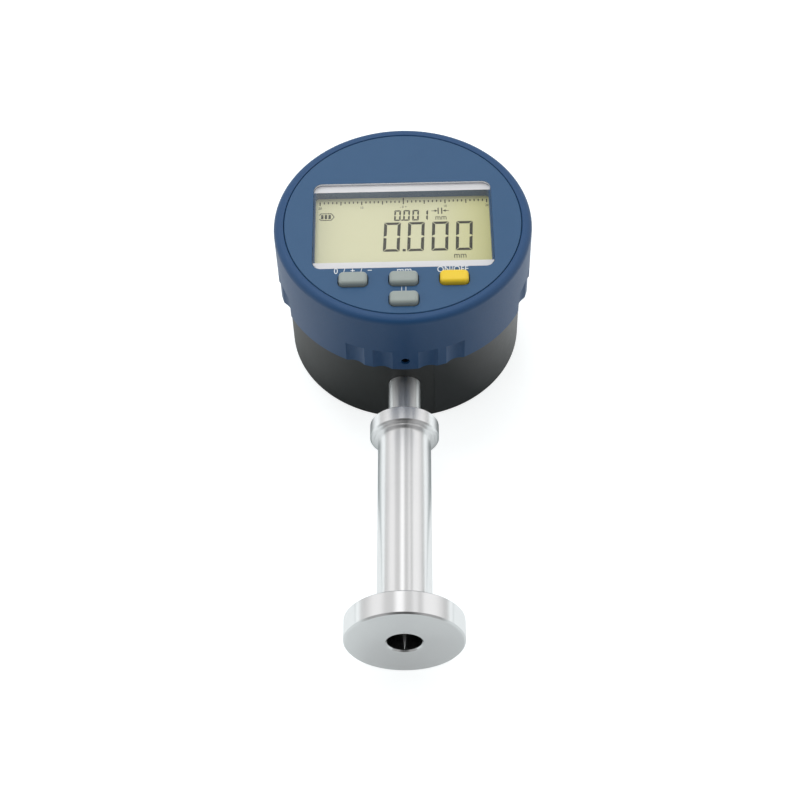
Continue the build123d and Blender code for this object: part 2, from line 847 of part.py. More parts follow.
# Grub screws of the bezel, whose points run in the spigot's upper groove
with BuildPart() as bezel_grub_screws:
    for retainer_angle in retainer_angles:
        with BuildSketch(radial(retainer_angle, bezel_bore + seat_gap)):
            with Locations((0, groove_height)):
                Circle(retainer_radius)
        extrude(amount=bezel_radius - retainer_recess - bezel_bore)
        with BuildSketch(radial(retainer_angle, groove_floor + retainer_point_gap)):
            with Locations((0, groove_height)):
                Circle(retainer_point_radius)
        extrude(amount=bezel_bore - groove_floor)
        with BuildSketch(radial(retainer_angle, bezel_radius - retainer_recess + seat_gap)):
            with Locations((0, groove_height)):
                RegularPolygon(retainer_radius * socket_share, 6)
        extrude(amount=-retainer_radius, mode=Mode.SUBTRACT)
save(bezel_grub_screws.part, "bezel_grub_screws")

# Face panel: a moulded cup with a window pocket, button holes, a skirt and screw bosses
with BuildPart() as face_panel:
    with BuildSketch(head(skin_bottom)):
        Circle(panel_radius)
    extrude(amount=skin_thickness)
    chamfer(face_panel.edges().filter_by(GeomType.CIRCLE).sort_by(Axis.Z)[-1], length=rim_chamfer)
    with BuildSketch(head(web_top)):
        Circle(panel_radius)
        Circle(skirt_inner, mode=Mode.SUBTRACT)
        with Locations(*face_bosses):
            Circle(face_boss_radius)
    extrude(amount=skin_bottom - web_top)
    with BuildSketch(head(display_top)):
        with Locations(*board_bosses):
            Circle(board_boss_radius)
    extrude(amount=skin_bottom - display_top)
    with BuildSketch(head(surround_bottom)):
        with Locations((0, window_y)):
            RectangleRounded(
                window_width + 2 * surround_wall, window_height + 2 * surround_wall, window_corner
            )
    extrude(amount=skin_bottom - surround_bottom)
    with BuildSketch(head(lens_bottom)):
        with Locations((0, window_y)):
            RectangleRounded(
                window_width + 2 * loose_gap, window_height + 2 * loose_gap, window_corner + loose_gap
            )
    extrude(amount=lens_thickness, mode=Mode.SUBTRACT)
    with BuildSketch(head(surround_bottom)):
        with Locations((0, window_y)):
            RectangleRounded(view_width, view_height, view_corner)
    extrude(amount=surround_depth, mode=Mode.SUBTRACT)
    with BuildSketch(head(skin_bottom)):
        with Locations(*keys.values()):
            RectangleRounded(key_width + 2 * key_gap, key_depth + 2 * key_gap, key_corner + key_gap)
    extrude(amount=skin_thickness, mode=Mode.SUBTRACT)
    with BuildSketch(head(web_top)):
        with Locations(*face_bosses):
            Circle(face_screw_radius + seat_gap)
    extrude(amount=face_screw_bite, mode=Mode.SUBTRACT)
    with BuildSketch(head(display_top)):
        with Locations(*board_bosses):
            Circle(small_screw_radius + seat_gap)
    extrude(amount=board_screw_bite, mode=Mode.SUBTRACT)
save(face_panel.part, "face_panel")

# Screws that hold the face panel to the bezel's web, from behind
pan_screws(
    "face_screws",
    head(web_bottom + face_head_height + loose_gap),
    face_bosses,
    face_screw_radius,
    web_thickness - face_head_height + face_screw_bite - 2 * loose_gap,
    face_head_radius,
    face_head_height,
)

# Window lens, flush with the face
with BuildPart() as window_lens:
    with BuildSketch(head(lens_bottom)):
        with Locations((0, window_y)):
            RectangleRounded(window_width, window_height, window_corner)
    extrude(amount=lens_thickness)
save(window_lens.part, "window_lens")

# Display glass: a front plate with contact ledges and a smaller rear plate
with BuildPart() as lcd_glass:
    with BuildSketch(head(glass_step)):
        with Locations((0, window_y)):
            Rectangle(glass_width, glass_height)
    extrude(amount=glass_plate)
    with BuildSketch(head(glass_bottom)):
        with Locations((0, window_y)):
            Rectangle(glass_width, glass_height - 2 * contact_ledge)
    extrude(amount=glass_plate)
save(lcd_glass.part, "lcd_glass")

# Holder: a frame that stands on the display board and carries the glass
with BuildPart() as lcd_holder:
    with BuildSketch(head(display_top)):
        with Locations((0, window_y)):
            Rectangle(
                glass_width + 2 * (loose_gap + holder_wall), glass_height + 2 * (loose_gap + holder_wall)
            )
        Circle(skirt_inner - face_gap, mode=Mode.INTERSECT)
    extrude(amount=surround_bottom - display_top)
    with BuildSketch(head(glass_bottom)):
        with Locations((0, window_y)):
            Rectangle(glass_width + 2 * loose_gap, glass_height + 2 * loose_gap)
    extrude(amount=surround_bottom - glass_bottom, mode=Mode.SUBTRACT)
    with BuildSketch(head(display_top)):
        with Locations((0, window_y)):
            Rectangle(glass_width - 2 * holder_ledge, glass_height + 2 * loose_gap)
    extrude(amount=glass_bottom - display_top, mode=Mode.SUBTRACT)
save(lcd_holder.part, "lcd_holder")

# Rubber contact strips between the glass's ledges and the board
with BuildPart() as contact_strips:
    with BuildSketch(head(display_top)):
        with Locations((0, window_y)):
            with GridLocations(0, glass_height - contact_ledge, 1, 2):
                Rectangle(glass_width - 2 * (holder_ledge + face_gap), strip_width)
    extrude(amount=glass_step - display_top)
save(contact_strips.part, "contact_strips")

# Display board, screwed to the panel's bosses
with BuildPart() as display_board:
    with BuildSketch(head(display_bottom)):
        Circle(skirt_inner - display_board_gap)
        with Locations(*face_bosses):
            Circle(face_boss_radius + face_gap, mode=Mode.SUBTRACT)
        with Locations(*board_bosses):
            Circle(small_screw_radius + seat_gap, mode=Mode.SUBTRACT)
    extrude(amount=board_thickness)
save(display_board.part, "display_board")

pan_screws(
    "board_screws",
    head(display_bottom),
    board_bosses,
    small_screw_radius,
    board_thickness + board_screw_bite - loose_gap,
    small_head_radius,
    small_head_height,
)

with BuildPart() as controller_chip:
    with BuildSketch(head(display_bottom)):
        Rectangle(controller_size, controller_size)
    extrude(amount=-chip_height)
save(controller_chip.part, "controller_chip")

# Switch bodies under the buttons, with a well for each plunger
with BuildPart() as tact_switches:
    with BuildSketch(head(display_top)):
        with Locations(*keys.values()):
            Rectangle(switch_size, switch_size)
    extrude(amount=switch_height)
    with BuildSketch(head(switch_top)):
        with Locations(*keys.values()):
            Circle(plunger_radius + loose_gap)
    well_depth = plunger_length - plunger_rise + button_travel + loose_gap
    extrude(amount=-well_depth, mode=Mode.SUBTRACT)
save(tact_switches.part, "tact_switches")

# Buttons: a cap in the face, a flange behind it and a stem that meets the plunger
for key_name, key_place in keys.items():
    plunger_top = switch_top + plunger_rise
    flange_top = skin_bottom - loose_gap
    with BuildPart() as button:
        with BuildSketch(head(flange_top)):
            with Locations(key_place):
                RectangleRounded(key_width, key_depth, key_corner)
        extrude(amount=bezel_front + key_rise - flange_top)
        fillet(button.faces().sort_by(Axis.Z)[-1].edges(), radius=key_round)
        with BuildSketch(head(flange_top)):
            with Locations(key_place):
                RectangleRounded(key_width + 2 * key_flange, key_depth + 2 * key_flange, key_corner)
        extrude(amount=-key_flange_thickness)
        with BuildSketch(head(plunger_top)):
            with Locations(key_place):
                Circle(plunger_radius)
        extrude(amount=flange_top - plunger_top)
    save(button.part, f"{key_name}_button")
    with BuildPart() as plunger:
        with BuildSketch(head(plunger_top)):
            with Locations(key_place):
                Circle(plunger_radius)
        extrude(amount=-plunger_length)
    save(plunger.part, f"{key_name}_plunger")
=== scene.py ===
# A digital gauge with a needle point, lying on its back on a pale floor.
# Everything is in metres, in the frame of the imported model.
import math

import bmesh
import bpy
from mathutils import Euler, Matrix, Vector


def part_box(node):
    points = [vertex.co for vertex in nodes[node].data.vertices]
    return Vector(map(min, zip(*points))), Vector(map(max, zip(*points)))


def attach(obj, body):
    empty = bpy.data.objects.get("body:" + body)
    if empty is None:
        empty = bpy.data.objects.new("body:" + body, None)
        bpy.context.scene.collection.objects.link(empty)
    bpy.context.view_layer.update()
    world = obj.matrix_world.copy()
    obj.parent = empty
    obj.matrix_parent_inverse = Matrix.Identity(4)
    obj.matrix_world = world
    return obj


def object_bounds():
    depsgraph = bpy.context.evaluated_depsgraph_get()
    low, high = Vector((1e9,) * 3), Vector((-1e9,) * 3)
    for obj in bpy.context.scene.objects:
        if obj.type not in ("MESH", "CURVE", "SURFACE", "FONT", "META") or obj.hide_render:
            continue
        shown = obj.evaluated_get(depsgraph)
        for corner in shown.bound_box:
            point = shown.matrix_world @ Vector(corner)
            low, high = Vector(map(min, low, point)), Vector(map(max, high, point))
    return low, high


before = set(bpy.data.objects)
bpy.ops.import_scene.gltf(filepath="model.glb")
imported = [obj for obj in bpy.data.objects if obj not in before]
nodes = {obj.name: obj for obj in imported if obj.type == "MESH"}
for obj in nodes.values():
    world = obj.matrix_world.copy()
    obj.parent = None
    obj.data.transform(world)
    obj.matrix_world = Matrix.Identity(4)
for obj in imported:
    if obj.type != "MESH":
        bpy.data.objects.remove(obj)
cad_low, cad_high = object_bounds()
mm = 0.001

# Rear case and its round cover: black glass-filled nylon from one mould family. The tool's
# walls were spark eroded, which leaves an even, fine matt grain that turns dark grey where
# light grazes it. The real grain is near 0.05 mm, and is drawn at 0.25 mm to show at all.


def linear(hex_colour):
    """The linear colour, with alpha 1, of an sRGB hex value."""
    shares = [int(hex_colour[i : i + 2], 16) / 255 for i in (1, 3, 5)]
    return (*[s / 12.92 if s <= 0.04045 else ((s + 0.055) / 1.055) ** 2.4 for s in shares], 1)


def add_node(tree, kind, inputs=None, **settings):
    """Adds a node, applies its settings, and gives its inputs values or links."""
    node = tree.nodes.new("ShaderNode" + kind)
    for name, value in settings.items():
        setattr(node, name, value)
    for name, value in (inputs or {}).items():
        if isinstance(value, bpy.types.NodeSocket):
            tree.links.new(value, node.inputs[name])
        else:
            node.inputs[name].default_value = value
    return node


def new_material(name, roughness, metallic=0.0, **sockets):
    """A material, its tree, its shader with constant sockets, and the surface's place."""
    material = bpy.data.materials.new(name)
    material.use_nodes = True
    tree = material.node_tree
    shader = tree.nodes["Principled BSDF"]
    shader.inputs["Roughness"].default_value = roughness
    shader.inputs["Metallic"].default_value = metallic
    for socket, value in sockets.items():
        shader.inputs[socket.replace("_", " ")].default_value = value
    # The place is in the model's frame, in metres, and the same in every pose
    where = add_node(tree, "TexCoord").outputs["Object"]
    return material, tree, shader, where


def mottle(tree, shader, where, size, dark, light):
    """A colour that drifts between two near shades over patches of a size."""
    noise = add_node(tree, "TexNoise", {"Vector": where, "Scale": 1 / size, "Detail": 3})
    blend = add_node(
        tree,
        "MixRGB",
        {"Fac": noise.outputs["Fac"], "Color1": linear(dark), "Color2": linear(light)},
    )
    tree.links.new(blend.outputs["Color"], shader.inputs["Base Color"])
    return blend.outputs["Color"]


def grain(tree, shader, where, size, depth, rough_low, rough_high):
    """An even grain of a size, in relief and in roughness."""
    noise = add_node(tree, "TexNoise", {"Vector": where, "Scale": 1 / size, "Detail": 2})
    bump = add_node(tree, "Bump", {"Height": noise.outputs["Fac"], "Distance": depth})
    tree.links.new(bump.outputs["Normal"], shader.inputs["Normal"])
    rough = add_node(
        tree,
        "MapRange",
        {"Value": noise.outputs["Fac"], "To Min": rough_low, "To Max": rough_high},
    )
    tree.links.new(rough.outputs["Result"], shader.inputs["Roughness"])


def finish_nodes(material, *names):
    """Puts a material on CAD nodes."""
    for name in names:
        nodes[name].data.materials.clear()
        nodes[name].data.materials.append(material)


nylon, tree, shader, where = new_material("black_moulded_nylon", roughness=0.5, IOR=1.53)
mottle(tree, shader, where, size=6 * mm, dark="#232525", light="#2A2C2B")
grain(tree, shader, where, size=0.25 * mm, depth=0.02 * mm, rough_low=0.42, rough_high=0.58)
finish_nodes(nylon, "rear_case", "back_cover")

# Case label: a strip of black polyester film, die cut with round corners and stuck round the
# right of the case, from just beside the stem. It is smoother than the nylon, so it catches
# the light as a soft sheen, broken by waves in the film about 1.2 mm apart.
label_glue = 0.03 * mm
label_thickness = 0.05 * mm
label_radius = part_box("rear_case")[1].x + label_glue
label_start = math.radians(-75.5)
label_end = math.radians(-12)
label_low = 1.4 * mm
label_high = 21.6 * mm
label_corner = 1.0 * mm
label_columns = 60


def new_piece(name, mesh_or_bmesh, material, body):
    """Makes an object of a mesh, gives it its material and slot, and lets it ride on a body."""
    mesh = mesh_or_bmesh
    if isinstance(mesh, bmesh.types.BMesh):
        mesh = bpy.data.meshes.new(name)
        mesh_or_bmesh.to_mesh(mesh)
        mesh_or_bmesh.free()
    mesh.materials.clear()
    mesh.materials.append(material)
    piece = bpy.data.objects.new(name, mesh)
    bpy.context.scene.collection.objects.link(piece)
    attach(piece, body)
    return piece


def rounded_outline(width, height, corner, steps=6):
    """The points, counter-clockwise, of a rounded rectangle about the origin."""
    points = []
    for turn, (x, y) in enumerate(((1, 1), (-1, 1), (-1, -1), (1, -1))):
        for step in range(steps + 1):
            angle = math.pi / 2 * (turn + step / steps)
            points.append(
                (
                    x * (width / 2 - corner) + corner * math.cos(angle),
                    y * (height / 2 - corner) + corner * math.sin(angle),
                )
            )
    return points


def plate(outline, low, high):
    """A flat plate with an outline, from one height to another, as a bmesh."""
    work = bmesh.new()
    face = work.faces.new([work.verts.new((x, y, low)) for x, y in outline])
    lifted = bmesh.ops.extrude_face_region(work, geom=[face])["geom"]
    for vert in [v for v in lifted if isinstance(v, bmesh.types.BMVert)]:
        vert.co.z = high
    bmesh.ops.recalc_face_normals(work, faces=work.faces)
    return work


# The strip is made flat, cut into columns, and bent round the case
label_arc = (label_end - label_start) * label_radius
label = plate(
    rounded_outline(label_arc, label_high - label_low, label_corner), 0, label_thickness
)
bmesh.ops.triangulate(label, faces=[face for face in label.faces if len(face.verts) > 4])
for column in range(1, label_columns):
    bmesh.ops.bisect_plane(
        label,
        geom=label.verts[:] + label.edges[:] + label.faces[:],
        plane_co=(label_arc * (column / label_columns - 0.5), 0, 0),
        plane_no=(1, 0, 0),
    )
for vert in label.verts:
    angle = (label_start + label_end) / 2 + vert.co.x / label_radius
    radius = label_radius + vert.co.z
    height = (label_low + label_high) / 2 + vert.co.y
    vert.co = (radius * math.cos(angle), radius * math.sin(angle), height)
polyester, tree, shader, where = new_material("black_polyester_label", roughness=0.3, IOR=1.57)
mottle(tree, shader, where, size=9 * mm, dark="#1E2021", light="#242627")
grain(tree, shader, where, size=1.2 * mm, depth=0.01 * mm, rough_low=0.26, rough_high=0.36)
new_piece("case_label", label, polyester, "case")

# Screws of the cover, panel, boards, reader and carriage, and the charging socket's shell:
# steel, rolled or pressed, then plated with zinc or tin. Bright with a faint cool cast, and
# a little dull in the drives. The plating's unevenness is drawn coarse, at 0.3 mm, to show.
plated, tree, shader, where = new_material("plated_screw_steel", roughness=0.28, metallic=1.0)
mottle(tree, shader, where, size=1.5 * mm, dark="#B9BCBD", light="#D2D4D4")
grain(tree, shader, where, size=0.3 * mm, depth=0.01 * mm, rough_low=0.22, rough_high=0.36)
finish_nodes(
    plated,
    "back_cover_screws",
    "reader_screws",
    "carriage_screw",
    "face_screws",
    "board_screws",
    "charging_socket",
)

# Grub screws of the base and the bezel: alloy steel, hardened, blackened in hot oxide and
# dipped in oil. They look dark with a dull, uneven shine, whose patches are drawn at 0.2 mm.
black_oxide, tree, shader, where = new_material("black_oxide_steel", roughness=0.4, metallic=1.0)
mottle(tree, shader, where, size=0.8 * mm, dark="#25272A", light="#34363A")
grain(tree, shader, where, size=0.2 * mm, depth=0.01 * mm, rough_low=0.32, rough_high=0.5)
finish_nodes(black_oxide, "base_grub_screw", "bezel_grub_screws")

# Stem, guide rod, spindle and its extension: hardened steel, centreless ground. Grinding
# leaves rings that stretch each light into a bright line along the rod. They are a few
# microns apart, and are drawn at 0.25 mm.


def box_middle(name):
    """The middle of a CAD node's box."""
    low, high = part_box(name)
    return (low + high) / 2


stem_height = box_middle("stem").z


def turned(tree, shader, where, pitch, depth, rough_low, rough_high):
    """Rings of a pitch round the stem's axis. Returns the distance from that axis."""
    parts = add_node(tree, "SeparateXYZ", {"Vector": where}).outputs
    above = add_node(tree, "Math", {0: parts["Z"], 1: stem_height}, operation="SUBTRACT")
    spoke = add_node(tree, "CombineXYZ", {"X": parts["X"], "Z": above.outputs["Value"]})
    radius = add_node(tree, "VectorMath", {0: spoke.outputs["Vector"]}, operation="LENGTH")
    ring = add_node(tree, "CombineXYZ", {"X": radius.outputs["Value"], "Y": parts["Y"]})
    grain(tree, shader, ring.outputs["Vector"], pitch, depth, rough_low, rough_high)
    grooves = add_node(tree, "Tangent", direction_type="RADIAL", axis="Y")
    tree.links.new(grooves.outputs["Tangent"], shader.inputs["Tangent"])
    return radius.outputs["Value"]


ground, tree, shader, where = new_material(
    "ground_hardened_steel",
    roughness=0.3,
    metallic=1.0,
    Anisotropic=0.95,
    Anisotropic_Rotation=0.25,
)
mottle(tree, shader, where, size=5 * mm, dark="#E2E3E3", light="#EAEBEB")
turned(tree, shader, where, pitch=0.25 * mm, depth=0.0006 * mm, rough_low=0.28, rough_high=0.33)
finish_nodes(ground, "stem", "guide_rod", "spindle", "extension_rod")

# Needle point: tungsten-alloyed tool steel, ground to a slender cone and screwed into the
# rod's end. It is left bright, so it stands out in the dark bore. Its rings are drawn at
# 0.15 mm, coarser than the wheel leaves them.
needle_steel, tree, shader, where = new_material("ground_tool_steel", roughness=0.4, metallic=1.0)
mottle(tree, shader, where, size=2 * mm, dark="#E6E6E4", light="#F0F0EE")
turned(tree, shader, where, pitch=0.15 * mm, depth=0.002 * mm, rough_low=0.36, rough_high=0.46)
finish_nodes(needle_steel, "needle_point")

# Measuring base and cap: free-cutting aluminium, turned in one setting and left satin. The
# tool's rings are about 0.1 mm apart and are drawn at 0.3 mm. The base's bore is as drilled,
# and darkened inside as painted shade in the hollow; the cap has no painted shade.
bore_radius = 4.1 * mm
for name, node, bore_shade in (
    ("turned_satin_aluminium", "spindle_cap", 0.0),
    ("turned_aluminium_with_painted_bore_shade", "measuring_base", 0.85),
):
    satin, tree, shader, where = new_material(
        name, roughness=0.28, metallic=1.0, Anisotropic=0.85, Anisotropic_Rotation=0.25
    )
    satin_tone = mottle(tree, shader, where, size=12 * mm, dark="#EEEEEF", light="#F5F5F5")
    radius = turned(
        tree, shader, where, pitch=0.3 * mm, depth=0.0015 * mm, rough_low=0.22, rough_high=0.28
    )
    # Painted shade: inside the bore's radius the satin tone gives way to a near black
    inside = add_node(tree, "Math", {0: radius, 1: bore_radius}, operation="LESS_THAN")
    share = add_node(tree, "Math", {0: inside.outputs["Value"], 1: bore_shade}, operation="MULTIPLY")
    bore = add_node(
        tree,
        "MixRGB",
        {"Fac": share.outputs["Value"], "Color1": satin_tone, "Color2": linear("#2C2E2E")},
    )
    tree.links.new(bore.outputs["Color"], shader.inputs["Base Color"])
    finish_nodes(satin, node)

# Bushings in the stem and in the case's top: sintered bronze, pressed in and reamed to size.
# Dull yellow-brown and a little porous, with the pores drawn at 0.2 mm, larger than life.
bronze, tree, shader, where = new_material("sintered_bronze", roughness=0.42, metallic=1.0)
mottle(tree, shader, where, size=0.7 * mm, dark="#9A7038", light="#C29550")
grain(tree, shader, where, size=0.2 * mm, depth=0.02 * mm, rough_low=0.36, rough_high=0.55)
finish_nodes(bronze, "stem_bushings", "upper_bushing")

# Return spring: hard-drawn steel wire, coiled cold and then heated, which leaves it dark and
# faintly brown. Its drawing lines show as an uneven shine, drawn at 0.1 mm.
spring_wire, tree, shader, where = new_material("drawn_spring_wire", roughness=0.35, metallic=1.0)
mottle(tree, shader, where, size=1.0 * mm, dark="#6E6C68", light="#8C8A85")
grain(tree, shader, where, size=0.1 * mm, depth=0.005 * mm, rough_low=0.28, rough_high=0.42)
finish_nodes(spring_wire, "return_spring")

# Carriage, switch bodies and their plungers: black acetal, moulded smooth in polished tools.
# It has a waxy, even shine. The faint flow marks are drawn at 0.3 mm.
acetal, tree, shader, where = new_material("black_acetal", roughness=0.35, IOR=1.48)
mottle(tree, shader, where, size=2 * mm, dark="#1B1C1D", light="#242526")
grain(tree, shader, where, size=0.3 * mm, depth=0.01 * mm, rough_low=0.3, rough_high=0.42)
finish_nodes(
    acetal,
    "scale_carriage",
    "tact_switches",
    "zero_plunger",
    "unit_plunger",
    "hold_plunger",
    "power_plunger",
)

# Seal in the case's groove, bumper on the spindle and contact strips under the display:
# nitrile rubber, moulded and cut square. It is matt with a faint bloom, and its grain is
# drawn coarse, at 0.25 mm.
rubber, tree, shader, where = new_material("matt_nitrile_rubber", roughness=0.7, IOR=1.52)
mottle(tree, shader, where, size=1.5 * mm, dark="#161616", light="#222222")
grain(tree, shader, where, size=0.25 * mm, depth=0.02 * mm, rough_low=0.62, rough_high=0.8)
finish_nodes(rubber, "dial_seal", "stop_bumper", "contact_strips")

# Boards of the reader and the display: glass-epoxy laminate, routed, under green solder
# mask. Copper tracks about 0.4 mm wide show through as slightly lighter lines.
solder_mask, tree, shader, where = new_material("green_solder_mask", roughness=0.3, IOR=1.55)
tracks = add_node(
    tree,
    "TexBrick",
    {
        "Vector": where,
        "Color1": linear("#14502C"),
        "Color2": linear("#0F4525"),
        "Mortar": linear("#2C7A48"),
        "Scale": 1.0,
        "Mortar Size": 0.2 * mm,
        "Brick Width": 3.2 * mm,
        "Row Height": 1.6 * mm,
    },
)
tree.links.new(tracks.outputs["Color"], shader.inputs["Base Color"])
relief = add_node(tree, "Bump", {"Height": tracks.outputs["Fac"], "Distance": 0.03 * mm})
tree.links.new(relief.outputs["Normal"], shader.inputs["Normal"])
finish_nodes(solder_mask, "reader_board", "display_board")

# Chips on the boards: black epoxy packages, transfer moulded and soldered down. Their face is
# a fine matt that looks dark grey, with its grain drawn at 0.15 mm.
epoxy, tree, shader, where = new_material("black_epoxy_package", roughness=0.55, IOR=1.55)
mottle(tree, shader, where, size=0.8 * mm, dark="#1D1D1F", light="#28282A")
grain(tree, shader, where, size=0.15 * mm, depth=0.01 * mm, rough_low=0.48, rough_high=0.62)
finish_nodes(epoxy, "reader_chip", "controller_chip")

# Battery cell: a pouch of aluminium laminate in a shrunk blue-grey film, laid in the cover's
# tray. The film is glossy, with soft wrinkles about 2.5 mm apart.
film, tree, shader, where = new_material("shrunk_battery_film", roughness=0.3, IOR=1.5)
mottle(tree, shader, where, size=4 * mm, dark="#5F7386", light="#71879B")
grain(tree, shader, where, size=2.5 * mm, depth=0.05 * mm, rough_low=0.24, rough_high=0.4)
finish_nodes(film, "battery_cell")

# Encoder scale: float glass, ruled with chromium lines and glued to the carriage. It looks
# glossy, pale and finely barred. The lines are drawn 0.5 mm apart, far coarser than real.
line_pitch = 0.5 * mm
scale_glass, tree, shader, where = new_material("ruled_scale_glass", roughness=0.08, IOR=1.52)
# The wave texture repeats every tenth of pi at a scale of 1
lines = add_node(
    tree, "TexWave", {"Vector": where, "Scale": math.pi / 10 / line_pitch}, bands_direction="Y"
)
bars = add_node(
    tree,
    "MixRGB",
    {"Fac": lines.outputs["Fac"], "Color1": linear("#A9B3B0"), "Color2": linear("#DCE3E1")},
)
tree.links.new(bars.outputs["Color"], shader.inputs["Base Color"])
finish_nodes(scale_glass, "encoder_scale")

# Bezel and face panel: blue ABS, moulded with a fine matt grain that softens every highlight.
# The bezel is the same plastic; its deeper blue is painted shade for its walls, which face
# away from the light. The real grain is near 0.05 mm, and is drawn at 0.25 mm to show at all.
for name, dark, light, node in (
    # The bezel's deeper blue is painted shade
    ("blue_abs_with_painted_shade", "#16436E", "#1A4773", "bezel"),
    ("blue_moulded_abs", "#295177", "#2D557B", "face_panel"),
):
    abs_blue, tree, shader, where = new_material(name, roughness=0.45, IOR=1.53)
    mottle(tree, shader, where, size=7 * mm, dark=dark, light=light)
    grain(tree, shader, where, size=0.25 * mm, depth=0.015 * mm, rough_low=0.38, rough_high=0.54)
    finish_nodes(abs_blue, node)

# Captions by the buttons: white pad-printed marks about 0.02 mm thick, which dry satin. They
# are plain signs: nought, plus and minus for the zero key, the unit, on and off, and two
# bars for hold.
caption_thickness = 0.02 * mm
letter_narrowing = 0.8
# A capital's share of the font's size
capital_share = 0.72

# The dial head stands turned on the case. What is printed or set in it is laid out upright
# about the dial's axis, and then turned with the head.
across_keys = box_middle("power_button") - box_middle("zero_button")
head_turn = Matrix.Rotation(math.atan2(across_keys.y, across_keys.x), 4, "Z")
key_pitch = across_keys.length / 2
face_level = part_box("face_panel")[1].z


def new_head_piece(name, mesh_or_bmesh, material):
    """Makes a piece of a mesh that was laid out upright, and turns it with the dial head."""
    piece = new_piece(name, mesh_or_bmesh, material, "dial_head")
    piece.data.transform(head_turn)


def lettering(name, words, height, middle, level, thickness, material):
    """Flat letters on the head, of a capital height, centred on a point at a level."""
    curve = bpy.data.curves.new(name, "FONT")
    curve.body = words
    curve.size = height / capital_share
    curve.align_x = "CENTER"
    curve.extrude = thickness / 2
    curve.resolution_u = 4
    writer = bpy.data.objects.new(name + "_curve", curve)
    bpy.context.scene.collection.objects.link(writer)
    mesh = bpy.data.meshes.new_from_object(writer)
    bpy.data.objects.remove(writer)
    mesh.transform(Matrix.Diagonal((letter_narrowing, 1, 1, 1)))
    mesh.transform(
        Matrix.Translation((middle[0], middle[1] - height / 2, level + thickness / 2))
    )
    new_head_piece(name, mesh, material)


white_ink, tree, shader, where = new_material("white_pad_ink", roughness=0.5, IOR=1.5)
mottle(tree, shader, where, size=0.6 * mm, dark="#D6DADC", light="#E2E5E6")
grain(tree, shader, where, size=0.2 * mm, depth=0.004 * mm, rough_low=0.42, rough_high=0.58)
for name, words, height, x, y in (
    ("zero_caption", "0  /  +  /  \u2212", 1.9 * mm, -key_pitch, -15.9 * mm),
    ("unit_caption", "mm", 2.2 * mm, 0.2 * mm, -16.0 * mm),
    ("power_caption", "ON/OFF", 1.9 * mm, key_pitch - 0.3 * mm, -16.0 * mm),
    ("hold_caption", "| |", 1.7 * mm, 0, -22.1 * mm),
):
    lettering(
        name, words, height, (x, y), face_level, caption_thickness, white_ink
    )

# Window: a lens cut from cast acrylic, set in the panel on ledges. Clear and glossy, with
# waves about 20 mm long that hardly show. It throws no shadow on the display.
wave_length = 20 * mm
acrylic, tree, shader, where = new_material(
    "clear_cast_acrylic", roughness=0.03, IOR=1.49, Transmission_Weight=1.0
)
ripple = add_node(tree, "TexNoise", {"Vector": where, "Scale": 1 / wave_length, "Detail": 1})
bump = add_node(tree, "Bump", {"Height": ripple.outputs["Fac"], "Distance": 0.01 * mm})
tree.links.new(bump.outputs["Normal"], shader.inputs["Normal"])
shader.inputs["Base Color"].default_value = linear("#FAFCFB")
finish_nodes(acrylic, "window_lens")
nodes["window_lens"].visible_shadow = False
nodes["window_lens"].visible_diffuse = False

# Window prints: white screen ink on the lens's back, along the top and the bottom, over the
# ledges that it rests on. Seen through the lens, the ink looks smooth and almost flat.
lens_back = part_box("window_lens")[0].z
window_y = -1.1 * mm
window_width = 44.6 * mm
window_height = 28.0 * mm
window_corner = 2.2 * mm
view_height = 23.6 * mm
print_gap = 0.02 * mm
print_thickness = 0.02 * mm
print_overhang = 0.15 * mm
window_ink, tree, shader, where = new_material("white_window_print", roughness=0.35, IOR=1.5)
mottle(tree, shader, where, size=8 * mm, dark="#D2D1D4", light="#DFDEE0")
grain(tree, shader, where, size=0.4 * mm, depth=0.003 * mm, rough_low=0.3, rough_high=0.42)
for name, side in (("upper_window_print", 1), ("lower_window_print", -1)):
    outline = rounded_outline(
        window_width - 2 * print_gap, window_height - 2 * print_gap, window_corner
    )
    band = plate(
        [(x, window_y + y) for x, y in outline],
        lens_back + print_gap,
        lens_back + print_gap + print_thickness,
    )
    bmesh.ops.bisect_plane(
        band,
        geom=band.verts[:] + band.edges[:] + band.faces[:],
        plane_co=(0, window_y + side * (view_height / 2 - print_overhang), 0),
        plane_no=(0, -side, 0),
        clear_outer=True,
    )
    bmesh.ops.holes_fill(band, edges=[edge for edge in band.edges if edge.is_boundary])
    bmesh.ops.recalc_face_normals(band, faces=band.faces)
    new_head_piece(name, band, window_ink)

# Display: a reflective liquid crystal cell, two glass plates over a rear foil. The foil gives
# the pale yellow-green ground, deeper toward its right end, with a silky grain drawn at
# 0.15 mm.
fade_start = 8 * mm
fade_end = 22 * mm
crystal, tree, shader, where = new_material("reflective_display_cell", roughness=0.4, IOR=1.52)
across = add_node(tree, "SeparateXYZ", {"Vector": where}).outputs["X"]
fade = add_node(
    tree, "MapRange", {"Value": across, "From Min": fade_start, "From Max": fade_end}
)
foil = add_node(
    tree,
    "MixRGB",
    {"Fac": fade.outputs["Result"], "Color1": linear("#D3D0A9"), "Color2": linear("#CAC684")},
)
tree.links.new(foil.outputs["Color"], shader.inputs["Base Color"])
grain(tree, shader, where, size=0.15 * mm, depth=0.001 * mm, rough_low=0.36, rough_high=0.45)
finish_nodes(crystal, "lcd_glass")

# Digits: segments of the cell that are switched dark, just over its front plate here. They
# look nearly black with a brown cast, and throw no highlight of their own. The patches in
# them are drawn large, at 1.2 mm.
segment_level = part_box("lcd_glass")[1].z + 0.01 * mm
segment_thickness = 0.02 * mm
digit_slant = 0.047
segment_ink, tree, shader, where = new_material(
    "dark_crystal_segment", roughness=0.5, IOR=1.52, Specular_IOR_Level=0.1
)
mottle(tree, shader, where, size=1.2 * mm, dark="#2A2818", light="#322F20")
grain(tree, shader, where, size=0.15 * mm, depth=0.001 * mm, rough_low=0.44, rough_high=0.55)


